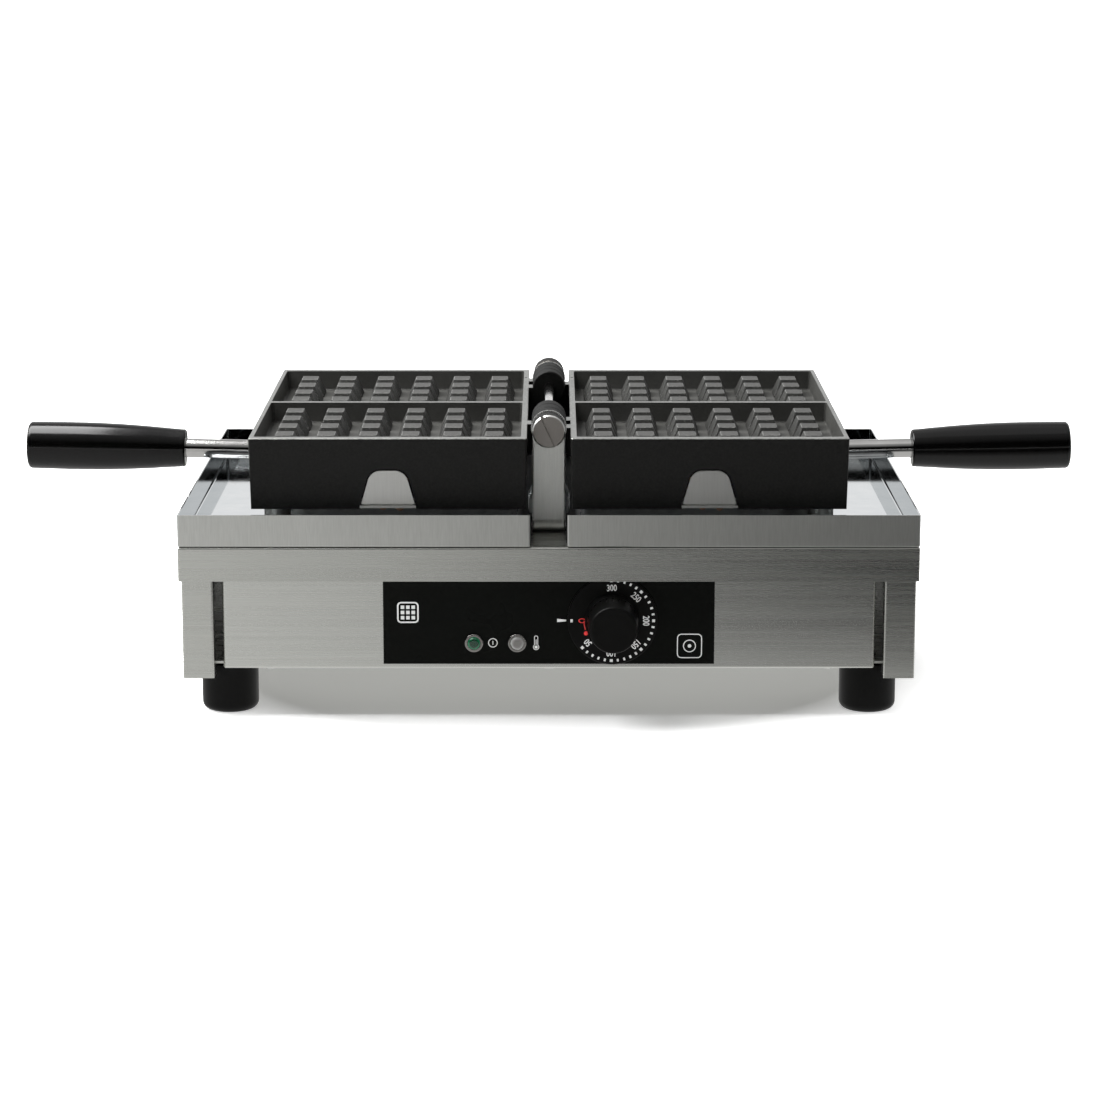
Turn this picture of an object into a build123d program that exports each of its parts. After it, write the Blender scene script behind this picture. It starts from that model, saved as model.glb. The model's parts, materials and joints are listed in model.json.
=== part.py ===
from build123d import *
from math import radians, sin, cos
import os

# Double waffle iron for a counter top: a sheet-metal base that carries two drip trays and,
# on one shaft that runs front to back, two cast-iron plates that swing like the covers of a book.
# Frame: +X right, -Y front, +Z up, origin on the ground under the middle of the base. Millimetres.

# ---- driving dimensions -------------------------------------------------------------------
BODY_W, BODY_D = 440.0, 302.0   # outside of the top cover
SHEET = 1.5                     # steel sheet of the base
COVER_TOP, FLANGE_H = 105.0, 20.5
LEG_BOTTOM, LEG_W = 25.0, 18.6
PANEL_W, PANEL_BOTTOM, PANEL_SETBACK = 389.4, 30.0, 6.0
SIDE_RETURN, LOWER_RETURN = 6.0, 14.0   # depth of the panels' turned edges
PAN_Z = 31.6                    # underside of the bottom pan
BASE_SCREW_X, BASE_SCREW_Y = (-168, 0, 168), -135

FOOT_R, FOOT_X, FOOT_Y = 17.0, 192.9, 121.0

LABEL_W, LABEL_BOTTOM, LABEL_TOP, LABEL_T = 197.5, 33.0, 92.0, 0.6
DIAL_X, DIAL_Z, DIAL_SKIRT_R, KNOB_FRONT_Y = 38.0, 60.0, 26.9, -174.0
LAMP_Z, POWER_LAMP_X, HEAT_LAMP_X = 45.9, -44.7, -18.9
GLAND_X, GLAND_Z, GLAND_BORE_R, GLAND_REACH = -150.0, 58.0, 5.2, 174.0

TRAY_INNER_X, TRAY_H, TRAY_T, TRAY_GAP = 10.5, 19.2, 1.0, 0.4
TRAY_BEND = 1.0                 # inside radius along the floor of a tray
TRAY_INNER_LIP = 6.6            # the wall beside the hinge is lower, to clear the lead conduit

AXIS_Z = 168.0                  # hinge axis, along Y at x = 0
SHAFT_R, FIT = 3.0, 0.04        # hinge shaft, and the radial clearance of a fixed fit
RUNNING_FIT = 0.05
BAR_W, BAR_T, BRACKET_Y = 19.7, 8.0, 106.5
CAP_R, FRONT_CAP_T, REAR_CAP_T = 10.0, 6.3, 16.0
CAP_SLOT_W, CAP_SLOT_DEPTH, CAP_SLOT_TURN = 2.0, 1.5, -25
WASHER_R, WASHER_T = 10.7, 0.8
BRACKET_BOLT_Y = 45.0
CONDUIT_R, CONDUIT_Z = 12.8, 118.0
CONDUIT_Y0, CONDUIT_Y1, CONDUIT_ROUND = -88.0, -53.0, 3.0
GUARD_Y, GUARD_TOP, GUARD_HALF_W = 137.0, 150.0, 20.0   # sheet that closes the gap behind the hinge

IRON_NEAR, IRON_FAR = 13.0, 178.4   # distance of the casting's two long sides from the axis
IRON_HALF_D, IRON_BOTTOM = 135.0, 125.0
RIM_Z = AXIS_Z - 0.25
DRAFT = 1.33                    # degrees, outside of the casting
RIM_HINGE_SIDE, RIM_FAR_SIDE, RIM_END, DIVIDER = 3.6, 2.7, 6.5, 5.0
CAVITY_DRAFT, CAVITY_FLOOR_R, RIM_EDGE = 3.0, 1.2, 0.35
CAVITY_FLOOR_Z, POCKET_TOP_Z = 155.0, 145.0
STUD_BASE_X, STUD_BASE_Y, STUD_TAPER = 20.0, 24.4, 22.5
STUD_PITCH_X, STUD_PITCH_Y, STUD_COLUMNS, STUD_ROWS = 25.2, 28.4, 6, 4
STUD_TOP_Z = RIM_Z - 1.2
EYE_R, EYE_L, EYE_PITCH, EYE_START, EYE_EDGE = 10.4, 12.9, 13.4, 57.5, 0.6
EYE_WEB_U, EYE_WEB_DROP = 15.0, 19.0   # where the web of an eye meets the casting
PIN_HOLE_U, PIN_HOLE_Y, PIN_HOLE_R, PIN_HOLE_DEPTH = 15.2, 101.0, 1.0, 4.0

COVER_Z = 129.0                 # underside of the plate that closes the casting
REST_FOOT_U, REST_FOOT_Y, REST_FOOT_R, REST_GAP = 164.0, 105.0, 8.0, 1.2
SCREW_SPOTS = [(30, 119), (30, -119), (150, 119), (150, -119)]
ELEMENT_R, ELEMENT_HALF_EXIT, ELEMENT_END_Y = 4.25, 8.0, -121.0
ROD_R, ROD_Z, ROD_TILT = 6.0, 137.1, 1.2
GRIP_START, GRIP_END = 230.2, 329.7

# ---- derived values -----------------------------------------------------------------------
HALF_W, HALF_D = BODY_W / 2, BODY_D / 2
GUARD_FOOT = 25.0
GUARD_SCREW_Y = GUARD_Y - GUARD_FOOT / 2
COVER_INSIDE = COVER_TOP - SHEET
PANEL_TOP = COVER_INSIDE - 0.2
SIDE_X = HALF_W - SHEET - 0.2
LEG_Y = HALF_D - SHEET - 0.3
PANEL_Y = HALF_D - PANEL_SETBACK
LABEL_FRONT = PANEL_Y + LABEL_T
IRON_MID = (IRON_NEAR + IRON_FAR) / 2
IRON_LENGTH = IRON_FAR - IRON_NEAR
TRAY_BOTTOM = COVER_TOP + TRAY_GAP
BAR_INSIDE_Y = BRACKET_Y - BAR_T
ELEMENT_Z = POCKET_TOP_Z - ELEMENT_R - 0.05
DIAL_BACK_Y = -LABEL_FRONT - 0.6
DIAL_FACE_Y = DIAL_BACK_Y - 1.8
COMPARTMENT_Y = (IRON_HALF_D - RIM_END + DIVIDER / 2) / 2

nodes = {}


# ---- helpers ------------------------------------------------------------------------------
def block(x, y, z):
    """A box from its three ranges, each given as a pair."""
    size = [abs(b - a) for a, b in (x, y, z)]
    low = [min(a, b) for a, b in (x, y, z)]
    return Pos(*low) * Box(*size, align=(Align.MIN, Align.MIN, Align.MIN))


def round_bar(radius, start, end):
    """A cylinder from one point to another."""
    path = Vector(*end) - Vector(*start)
    place = Plane(origin=start, z_dir=path)
    return place * Cylinder(radius, path.length, align=(Align.CENTER, Align.CENTER, Align.MIN))


def along_y(radius, x, z, y0, y1):
    return round_bar(radius, (x, y0, z), (x, y1, z))


def upright(radius, x, y, z0, z1):
    return round_bar(radius, (x, y, z0), (x, y, z1))


def hexagon(across_flats, plane, height):
    return extrude(plane * RegularPolygon(across_flats / 2, 6, major_radius=False), height)


def turned(points, plane):
    """A solid of revolution: points are (radius, distance along the plane's normal)."""
    outline = Polyline(*[(r, d) for r, d in points], close=True)
    face = make_face(outline)
    section = Plane(origin=plane.origin, x_dir=plane.x_dir, z_dir=-plane.y_dir)
    return revolve(section * face, Axis(plane.origin, plane.z_dir))


def to_left(shape):
    return mirror(shape, about=Plane.YZ)


def to_rear(shape):
    return mirror(shape, about=Plane.XZ)


def half_turn(shape):
    return Rot(0, 0, 180) * shape


def four(shape):
    """A piece in the front right corner, and its copies in the other three."""
    return [shape, to_left(shape), to_rear(shape), half_turn(shape)]


def add(name, *shapes):
    solids = [solid for shape in shapes for solid in shape.solids()]
    nodes[name] = solids[0] if len(solids) == 1 else Compound(solids)


# ---- base: sheet metal --------------------------------------------------------------------
def body_cover():
    shell = block((-HALF_W, HALF_W), (-HALF_D, HALF_D), (COVER_TOP - FLANGE_H, COVER_TOP))
    shell = fillet(shell.edges().filter_by(Axis.Z), 1.2)
    shell = fillet(shell.faces().sort_by(Axis.Z)[-1].edges(), 1.1)
    inside_x, inside_y = HALF_W - SHEET, HALF_D - SHEET
    shell -= block((-inside_x, inside_x), (-inside_y, inside_y), (COVER_TOP - FLANGE_H, COVER_INSIDE))
    for y in (-BRACKET_BOLT_Y, BRACKET_BOLT_Y, GUARD_SCREW_Y):
        shell -= upright(SHAFT_R + FIT, 0, y, COVER_INSIDE - 1, COVER_TOP + 1)
    return shell - upright(5, 0, 0, COVER_INSIDE - 1, COVER_TOP + 1)


def side_panel():
    z = (LEG_BOTTOM, PANEL_TOP)
    panel = block((SIDE_X - SHEET, SIDE_X), (-LEG_Y, LEG_Y), z)
    leg_x = SIDE_X - LEG_W
    for end in (-1, 1):
        panel += block((leg_x, SIDE_X), (end * LEG_Y, end * (LEG_Y - SHEET)), z)
        panel += block((leg_x, leg_x + SHEET), (end * LEG_Y, end * (LEG_Y - 10)), z)
    bends = panel.edges().filter_by(Axis.Z).filter_by(lambda e: abs(e.center().Y) > LEG_Y - 0.1)
    return fillet(bends, 1.2)


def panel_sheet():
    """The front panel: a sheet with its sides and its lower edge turned back."""
    half = PANEL_W / 2
    z = (PANEL_BOTTOM, PANEL_TOP)
    sheet = block((-half, half), (-PANEL_Y, -PANEL_Y + LOWER_RETURN), z)
    corners = sheet.edges().filter_by(Axis.Z).filter_by(lambda e: e.center().Y < -PANEL_Y + 0.1)
    sheet = fillet(corners, 2)
    lower = sheet.edges().filter_by(lambda e: e.center().Z < z[0] + 0.1 and e.center().Y < -PANEL_Y + 0.7)
    sheet = fillet(lower, 1.2)
    sheet -= block((-half + SHEET, half - SHEET), (-PANEL_Y + SHEET, 0), (z[0] + SHEET, z[1] + 1))
    return sheet - block((-half - 1, half + 1), (-PANEL_Y + SIDE_RETURN, 0), (z[0] + SHEET, z[1] + 1))


def front_panel():
    panel = panel_sheet()
    for x in (POWER_LAMP_X, HEAT_LAMP_X):
        panel -= along_y(4.7, x, LAMP_Z, -PANEL_Y - 1, -PANEL_Y + 3)
    panel -= along_y(5.3, DIAL_X, DIAL_Z, -PANEL_Y - 1, -PANEL_Y + 3)
    for x in BASE_SCREW_X:
        panel -= upright(1.8 + FIT, x, BASE_SCREW_Y, PANEL_BOTTOM - 1, PANEL_BOTTOM + 3)
    return panel


def rear_panel():
    panel = to_rear(panel_sheet())
    panel -= along_y(8.05, GLAND_X, GLAND_Z, PANEL_Y - 3, PANEL_Y + 1)
    for group in (-60, 60):
        for step in range(7):
            x = group + (step - 3) * 12
            slot = Plane.XZ * Pos(x, 66) * SlotOverall(30, 4, rotation=90)
            panel -= Pos(0, PANEL_Y + 1, 0) * extrude(slot, 4)
    for x in BASE_SCREW_X:
        panel -= upright(1.8 + FIT, x, -BASE_SCREW_Y, PANEL_BOTTOM - 1, PANEL_BOTTOM + 3)
    return panel


def bottom_pan():
    half_x, half_y = SIDE_X - SHEET - 0.2, 138.7
    pan = block((-half_x, half_x), (-half_y, half_y), (PAN_Z, PAN_Z + SHEET))
    for side in (-1, 1):
        pan += block((side * half_x, side * (half_x - SHEET)), (-half_y, half_y), (PAN_Z, PAN_Z + 14))
    for hole in four(upright(SHAFT_R + FIT, FOOT_X, -FOOT_Y, PAN_Z - 1, PAN_Z + 3)):
        pan -= hole
    for x in BASE_SCREW_X:
        for y in (BASE_SCREW_Y, -BASE_SCREW_Y):
            pan -= upright(1.8 + FIT, x, y, PAN_Z - 1, PAN_Z + 3)
    return pan


def foot():
    body = upright(FOOT_R, FOOT_X, -FOOT_Y, 0, PANEL_BOTTOM - 0.2)
    body = fillet(body.edges().sort_by(Axis.Z)[0], 5)
    body += upright(8, FOOT_X, -FOOT_Y, PANEL_BOTTOM - 0.2, PAN_Z)
    return body - upright(SHAFT_R + FIT, FOOT_X, -FOOT_Y, 11, PAN_Z + 1)


def foot_screw():
    top = PAN_Z + SHEET
    head = fillet(upright(5, FOOT_X, -FOOT_Y, top, top + 3).edges().sort_by(Axis.Z)[-1], 1.5)
    return head + upright(SHAFT_R, FOOT_X, -FOOT_Y, 12, top)


def base_screw(x, y):
    head = upright(3.2, x, y, PANEL_BOTTOM - 2.2, PANEL_BOTTOM)
    head = fillet(head.edges().sort_by(Axis.Z)[0], 1.6)
    return head + upright(1.8, x, y, PANEL_BOTTOM, PAN_Z + 5)


# ---- base: controls and wiring ------------------------------------------------------------
def fascia_label():
    half = LABEL_W / 2
    label = block((-half, half), (-PANEL_Y, -LABEL_FRONT), (LABEL_BOTTOM, LABEL_TOP))
    for x in (POWER_LAMP_X, HEAT_LAMP_X):
        label -= along_y(4.7, x, LAMP_Z, -LABEL_FRONT - 1, -PANEL_Y + 1)
    return label - along_y(5.3, DIAL_X, DIAL_Z, -LABEL_FRONT - 1, -PANEL_Y + 1)


def lamp_bezel(x):
    front = along_y(5.6, x, LAMP_Z, -LABEL_FRONT - 1.5, -LABEL_FRONT)
    front = fillet(front.edges().sort_by(Axis.Y)[0], 0.7)
    barrel = along_y(4.6, x, LAMP_Z, -LABEL_FRONT, -LABEL_FRONT + 16)
    return front + barrel - along_y(4.0, x, LAMP_Z, -LABEL_FRONT - 2, -LABEL_FRONT + 12)


def lamp_lens(x):
    lens = along_y(3.95, x, LAMP_Z, -LABEL_FRONT - 3, -LABEL_FRONT + 6)
    return fillet(lens.edges().sort_by(Axis.Y)[0], 2.2)


def thermostat_body():
    back = -PANEL_Y + SHEET + 0.1
    body = block((DIAL_X - 18, DIAL_X + 18), (back, back + 22), (DIAL_Z - 21, DIAL_Z + 21))
    body = fillet(body.edges().filter_by(Axis.Y), 3)
    body += along_y(5, DIAL_X, DIAL_Z, -LABEL_FRONT - 0.2, back)
    return body - along_y(SHAFT_R + RUNNING_FIT, DIAL_X, DIAL_Z, -LABEL_FRONT - 1, back + 15)


def safety_cutout():
    floor = PAN_Z + SHEET
    bracket = block((-74, -46), (-108, -84), (floor, floor + 2))
    bracket += block((-74, -46), (-108, -106), (floor, floor + 26))
    return bracket + along_y(8, -60, floor + 15, -106, -94)


def terminal_block():
    floor = PAN_Z + SHEET
    strip = block((-143, -97), (92, 108), (floor, floor + 18))
    for x in (-136, -120, -104):
        strip -= upright(2.2, x, 100, floor + 8, floor + 19)
    return strip


def cable_gland():
    hexagon_plane = Plane(origin=(GLAND_X, PANEL_Y, GLAND_Z), x_dir=(1, 0, 0), z_dir=(0, 1, 0))
    body = hexagon(22, hexagon_plane, 6)
    dome = [(0, 6), (11, 6), (11, 18), (7.5, GLAND_REACH - PANEL_Y), (0, GLAND_REACH - PANEL_Y)]
    body += turned(dome, hexagon_plane)
    body += along_y(8, GLAND_X, GLAND_Z, PANEL_Y - 11, PANEL_Y)
    return body - along_y(GLAND_BORE_R, GLAND_X, GLAND_Z, PANEL_Y - 12, GLAND_REACH + 1)


def gland_nut():
    plane = Plane(origin=(GLAND_X, PANEL_Y - SHEET - 5, GLAND_Z), x_dir=(1, 0, 0), z_dir=(0, 1, 0))
    nut = hexagon(24, plane, 5)
    return nut - along_y(8.05, GLAND_X, GLAND_Z, PANEL_Y - 12, PANEL_Y)


# ---- hinge --------------------------------------------------------------------------------
def hinge_bracket():
    """A flat bar bent into a U: its two ends stand up, rounded about the hinge axis."""
    half = BAR_W / 2
    bar = block((-half, half), (-BRACKET_Y, BRACKET_Y), (COVER_TOP, AXIS_Z + half))
    outer = bar.edges().filter_by(Axis.X).group_by(Axis.Z)[0]
    bar = fillet(outer, BAR_T)
    gap = block((-half, half), (-BAR_INSIDE_Y, BAR_INSIDE_Y), (COVER_TOP + BAR_T, AXIS_Z + half))
    bar -= fillet(gap.edges().filter_by(Axis.X).group_by(Axis.Z)[0], 2)
    outline = block((-half, half), (-BRACKET_Y, BRACKET_Y), (COVER_TOP, AXIS_Z))
    outline += along_y(half, 0, AXIS_Z, -BRACKET_Y, BRACKET_Y)
    bar = bar & outline
    rounded = bar.edges().filter_by(GeomType.CIRCLE).filter_by(lambda e: e.center().Z > AXIS_Z)
    bar = chamfer(rounded.filter_by(lambda e: abs(e.center().Y) > BRACKET_Y - 0.1), 0.7)
    bar -= along_y(SHAFT_R + FIT, 0, AXIS_Z, -BRACKET_Y - 1, BRACKET_Y + 1)
    for y in (-BRACKET_BOLT_Y, BRACKET_BOLT_Y):
        bar -= upright(SHAFT_R + FIT, 0, y, COVER_TOP - 1, COVER_TOP + BAR_T + 1)
    return bar - upright(5, 0, 0, COVER_TOP - 1, COVER_TOP + BAR_T + 1)


def bracket_bolt(y):
    seat = COVER_TOP + BAR_T
    head = hexagon(10, Plane(origin=(0, y, seat)), 4)
    return head + upright(SHAFT_R, 0, y, COVER_INSIDE - 7, seat)


def bracket_nut(y):
    nut = hexagon(10, Plane(origin=(0, y, COVER_INSIDE - 5)), 5)
    return nut - upright(SHAFT_R + FIT, 0, y, COVER_INSIDE - 6, COVER_INSIDE + 1)


def front_shaft_cap():
    face_y = -BRACKET_Y - FRONT_CAP_T
    cap = along_y(CAP_R, 0, AXIS_Z, face_y, -BRACKET_Y)
    cap = chamfer(cap.edges().sort_by(Axis.Y)[0], 0.8)
    slot = Box(CAP_SLOT_W, 2 * CAP_SLOT_DEPTH, 2 * CAP_R + 2)
    cap -= Pos(0, face_y, AXIS_Z) * Rot(0, CAP_SLOT_TURN, 0) * slot
    return cap - along_y(SHAFT_R + FIT, 0, AXIS_Z, face_y + CAP_SLOT_DEPTH + 1.5, -BRACKET_Y + 1)


def rear_shaft_cap():
    end = BRACKET_Y + REAR_CAP_T
    cap = along_y(CAP_R, 0, AXIS_Z, BRACKET_Y, end)
    cap = fillet(cap.edges().sort_by(Axis.Y)[-1], 1.5)
    cap += along_y(7, 0, AXIS_Z, end, end + 4)
    return cap - along_y(SHAFT_R + FIT, 0, AXIS_Z, BRACKET_Y - 1, end)


def shaft_washer(end):
    ring = along_y(WASHER_R, 0, AXIS_Z, end * (BAR_INSIDE_Y - 0.1 - WASHER_T), end * (BAR_INSIDE_Y - 0.1))
    return ring - along_y(SHAFT_R + FIT, 0, AXIS_Z, end * (BAR_INSIDE_Y - 2), end * (BAR_INSIDE_Y + 1))


def lead_conduit():
    """A short polished tube on the bracket, where the flexible leads of the plates come up."""
    seat = COVER_TOP + BAR_T + 0.02
    tube = along_y(CONDUIT_R, 0, CONDUIT_Z, CONDUIT_Y0, CONDUIT_Y1)
    tube = fillet(tube.edges().filter_by(GeomType.CIRCLE), CONDUIT_ROUND)
    tube -= along_y(CONDUIT_R - SHEET, 0, CONDUIT_Z, CONDUIT_Y0 + 6, CONDUIT_Y1 + 1)
    below = block((-20, 20), (CONDUIT_Y0 - 1, CONDUIT_Y1 + 1), (seat - 20, seat))
    return tube - below


def rear_guard():
    """A folded sheet: a foot between the trays, and a wider plate that closes the gap behind the hinge."""
    foot_half = TRAY_INNER_X - 0.4
    back = GUARD_Y + SHEET
    tray_clear = TRAY_BOTTOM + TRAY_H + 1.4
    guard = block((-foot_half, foot_half), (GUARD_Y - GUARD_FOOT, back), (COVER_TOP, COVER_TOP + SHEET))
    guard += block((-foot_half, foot_half), (GUARD_Y, back), (COVER_TOP, tray_clear + 1))
    plate = block((-GUARD_HALF_W, GUARD_HALF_W), (GUARD_Y, back), (tray_clear, GUARD_TOP))
    guard += fillet(plate.edges().filter_by(Axis.Y), 4)
    lowest = guard.edges().filter_by(Axis.X).group_by(Axis.Z)[0]
    guard = fillet(lowest.sort_by(Axis.Y)[-1], 1.2)
    return guard - upright(SHAFT_R + FIT, 0, GUARD_SCREW_Y, COVER_TOP - 1, COVER_TOP + 3)


def guard_screw():
    seat = COVER_TOP + SHEET
    head = fillet(upright(5, 0, GUARD_SCREW_Y, seat, seat + 2.6).edges().sort_by(Axis.Z)[-1], 1.6)
    return head + upright(SHAFT_R, 0, GUARD_SCREW_Y, COVER_INSIDE - 6, seat)


# ---- drip trays ---------------------------------------------------------------------------
def drip_tray():
    """The right-hand tray."""
    z = (TRAY_BOTTOM, TRAY_BOTTOM + TRAY_H)
    tray = block((TRAY_INNER_X, HALF_W), (-HALF_D, HALF_D), z)
    tray = fillet(tray.edges().filter_by(Axis.Z), 1.5)
    tray = fillet(tray.faces().sort_by(Axis.Z)[0].edges(), 0.8)
    inner_x = (TRAY_INNER_X + TRAY_T, HALF_W - TRAY_T)
    inner_y = (-HALF_D + TRAY_T, HALF_D - TRAY_T)
    inside = block(inner_x, inner_y, (z[0] + TRAY_T, z[1] + 1))
    inside = fillet(inside.edges().filter_by(Axis.Z), TRAY_BEND + 0.1)
    tray -= fillet(inside.faces().sort_by(Axis.Z)[0].edges(), TRAY_BEND)
    end = HALF_D - 4
    return tray - block((TRAY_INNER_X - 1, TRAY_INNER_X + 3), (-end, end), (z[0] + TRAY_INNER_LIP, z[1] + 1))


# ---- cast-iron plates: all are modelled on the right-hand side, u is the distance from the axis ----
def hinge_eye(y_low):
    """One ring round the shaft, with the web that joins it to the casting."""
    low_end = (EYE_WEB_U, AXIS_Z - EYE_WEB_DROP)
    web = Polyline((0, AXIS_Z - EYE_R), low_end, (EYE_WEB_U, RIM_Z), (0, RIM_Z), close=True)
    web = extrude(Plane.XZ * make_face(web), -EYE_L)
    ring = along_y(EYE_R, 0, AXIS_Z, y_low, y_low + EYE_L)
    return Pos(0, y_low, 0) * web + chamfer(ring.edges().filter_by(GeomType.CIRCLE), EYE_EDGE)


def terminal_outline(gap):
    """The rounded shield shape of the terminal cover, seen from the front, widened by a gap."""
    low, high = COVER_Z - 0.5, 148.4 + gap
    wide, narrow = 15.85 + gap, 10.2 + gap
    shield = Polyline((-wide, low), (-narrow, high), (narrow, high), (wide, low), close=True)
    corners = make_face(shield).vertices().group_by(Axis.Y)[-1]
    return fillet(corners, 8 + gap)


def terminal_notch():
    outline = Plane.XZ * Pos(IRON_MID, 0) * terminal_outline(0.7)
    notch = Pos(0, -IRON_HALF_D + 9, 0) * extrude(outline, 11)
    half = 16.6
    return notch + block(
        (IRON_MID - half, IRON_MID + half), (-IRON_HALF_D - 2, -IRON_HALF_D + 9), (IRON_BOTTOM - 1, COVER_Z)
    )


def handle_line(u):
    """The height of the handle rod's axis at a distance u, as it leaves the casting."""
    return ROD_Z + (u - IRON_FAR) * sin(radians(ROD_TILT)) / cos(radians(ROD_TILT))


def waffle_cavity():
    """One compartment's empty space: tapered walls, and a rounded corner where they meet the floor."""
    near, far = IRON_NEAR + RIM_HINGE_SIDE, IRON_FAR - RIM_FAR_SIDE
    rim = Plane(origin=((near + far) / 2, 0, RIM_Z), x_dir=(1, 0, 0), z_dir=(0, 0, -1))
    opening = rim * RectangleRounded(far - near, IRON_HALF_D - RIM_END - DIVIDER / 2, 2)
    cavity = extrude(opening, RIM_Z - CAVITY_FLOOR_Z, taper=CAVITY_DRAFT)
    return fillet(cavity.faces().sort_by(Axis.Z)[0].edges(), CAVITY_FLOOR_R)


def raw_casting():
    """Rim, two waffle compartments and the pocket for the element, with no hinge eyes."""
    rim = Plane(origin=(IRON_MID, 0, RIM_Z), x_dir=(1, 0, 0), z_dir=(0, 0, -1))
    outline = rim * RectangleRounded(IRON_LENGTH, 2 * IRON_HALF_D, 1.5)
    body = extrude(outline, RIM_Z - IRON_BOTTOM, taper=DRAFT)
    body = chamfer(body.faces().sort_by(Axis.Z)[-1].edges(), RIM_EDGE)
    for end in (-1, 1):
        body -= Pos(0, end * COMPARTMENT_Y, 0) * waffle_cavity()
    pocket_plane = Plane(origin=(IRON_MID, 0, IRON_BOTTOM))
    pocket = pocket_plane * RectangleRounded(IRON_LENGTH - 16, 2 * IRON_HALF_D - 16, 4)
    body -= extrude(pocket, POCKET_TOP_Z - IRON_BOTTOM)
    for u, y in SCREW_SPOTS:
        body += upright(5, u, y, COVER_Z + SHEET, POCKET_TOP_Z)
    for end in (-1, 1):
        body += upright(REST_FOOT_R, REST_FOOT_U, end * REST_FOOT_Y, IRON_BOTTOM, POCKET_TOP_Z)
    for u, y in SCREW_SPOTS:
        body -= upright(2 + FIT, u, y, COVER_Z, COVER_Z + 12.5)
    body -= upright(PIN_HOLE_R, PIN_HOLE_U, PIN_HOLE_Y, RIM_Z - PIN_HOLE_DEPTH, RIM_Z + 1)
    return body - round_bar(ROD_R + FIT, (160, 0, handle_line(160)), (200, 0, handle_line(200)))


def casting(eyes):
    """The casting with its hinge eyes; eyes holds (end, place) pairs, place counting inwards."""
    body = raw_casting() - terminal_notch()
    for end, place in eyes:
        low = EYE_START + place * EYE_PITCH
        body += hinge_eye(low if end > 0 else -low - EYE_L)
    return body - along_y(SHAFT_R + RUNNING_FIT, 0, AXIS_Z, -BRACKET_Y, BRACKET_Y)


def waffle_studs():
    stud = extrude(Rectangle(STUD_BASE_X, STUD_BASE_Y), STUD_TOP_Z - CAVITY_FLOOR_Z, taper=STUD_TAPER)
    studs = []
    for end in (-1, 1):
        for column in range(STUD_COLUMNS):
            for row in range(STUD_ROWS):
                u = IRON_MID + (column - (STUD_COLUMNS - 1) / 2) * STUD_PITCH_X
                y = end * COMPARTMENT_Y + (row - (STUD_ROWS - 1) / 2) * STUD_PITCH_Y
                studs.append(Pos(u, y, CAVITY_FLOOR_Z) * stud)
    return studs


def bottom_cover():
    half_u, half_y = IRON_LENGTH / 2 - 8.4, IRON_HALF_D - 8.4
    plate = Pos(IRON_MID, 0, COVER_Z) * extrude(RectangleRounded(2 * half_u, 2 * half_y, 4), SHEET)
    for end in (-1, 1):
        plate -= upright(REST_FOOT_R + 0.4, REST_FOOT_U, end * REST_FOOT_Y, COVER_Z - 1, COVER_Z + 3)
    for u, y in SCREW_SPOTS:
        plate -= upright(2 + FIT, u, y, COVER_Z - 1, COVER_Z + 3)
    return plate


def heating_element():
    near, far, front, back = IRON_MID - 51, IRON_MID + 51, -98, 98
    left, right = IRON_MID - ELEMENT_HALF_EXIT, IRON_MID + ELEMENT_HALF_EXIT
    route = [(left, ELEMENT_END_Y), (left, front), (near, front), (near, back)]
    route += [(far, back), (far, front), (right, front), (right, ELEMENT_END_Y)]
    path = FilletPolyline(*[(u, y, ELEMENT_Z) for u, y in route], radius=11)
    section = Plane(origin=(left, ELEMENT_END_Y, ELEMENT_Z), z_dir=(0, 1, 0)) * Circle(ELEMENT_R)
    return sweep(section, path=path)


def element_clamp():
    under = ELEMENT_Z - ELEMENT_R - 0.05
    clamp = block((IRON_MID - 60, IRON_MID + 60), (-8, 8), (under - 3, under))
    for step in (-22, 22):
        clamp += upright(3, IRON_MID + step, 0, under, POCKET_TOP_Z)
    return clamp


def terminal_cover():
    """A shield in the casting's notch, its lower edge turned forwards into a narrow lip."""
    outline = Plane.XZ * Pos(IRON_MID, 0) * terminal_outline(0)
    shield = Pos(0, -IRON_HALF_D + 1.2, 0) * extrude(outline, 1.8)
    front = -IRON_HALF_D - 0.4
    lip_z = (COVER_Z - 2.6, COVER_Z - 1.4)
    web = block((IRON_MID - 15, IRON_MID + 15), (front + 1.6, front + 3), (lip_z[0], COVER_Z + 3))
    lip = block((IRON_MID - 16.7, IRON_MID + 16.7), (front - 2.8, front), lip_z)
    lip += block((IRON_MID - 15.7, IRON_MID + 15.7), (front, front + 8), lip_z)
    return shield + web + lip


def terminals():
    pins = []
    for step in (-ELEMENT_HALF_EXIT, ELEMENT_HALF_EXIT):
        bead = along_y(4.2, IRON_MID + step, ELEMENT_Z, ELEMENT_END_Y - 7, ELEMENT_END_Y - 0.1)
        pins.append(bead + along_y(2, IRON_MID + step, ELEMENT_Z, ELEMENT_END_Y - 9.5, ELEMENT_END_Y - 7))
    return pins


def rest_feet():
    foot_bottom = TRAY_BOTTOM + TRAY_T + REST_GAP
    feet = []
    for end in (-1, 1):
        leg = upright(REST_FOOT_R, REST_FOOT_U, end * REST_FOOT_Y, foot_bottom, IRON_BOTTOM)
        feet.append(fillet(leg.edges().sort_by(Axis.Z)[0], 1.5))
    return feet


def handle_rod():
    return round_bar(ROD_R, (166, 0, handle_line(166)), (GRIP_END - 12, 0, handle_line(GRIP_END - 12)))


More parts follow.
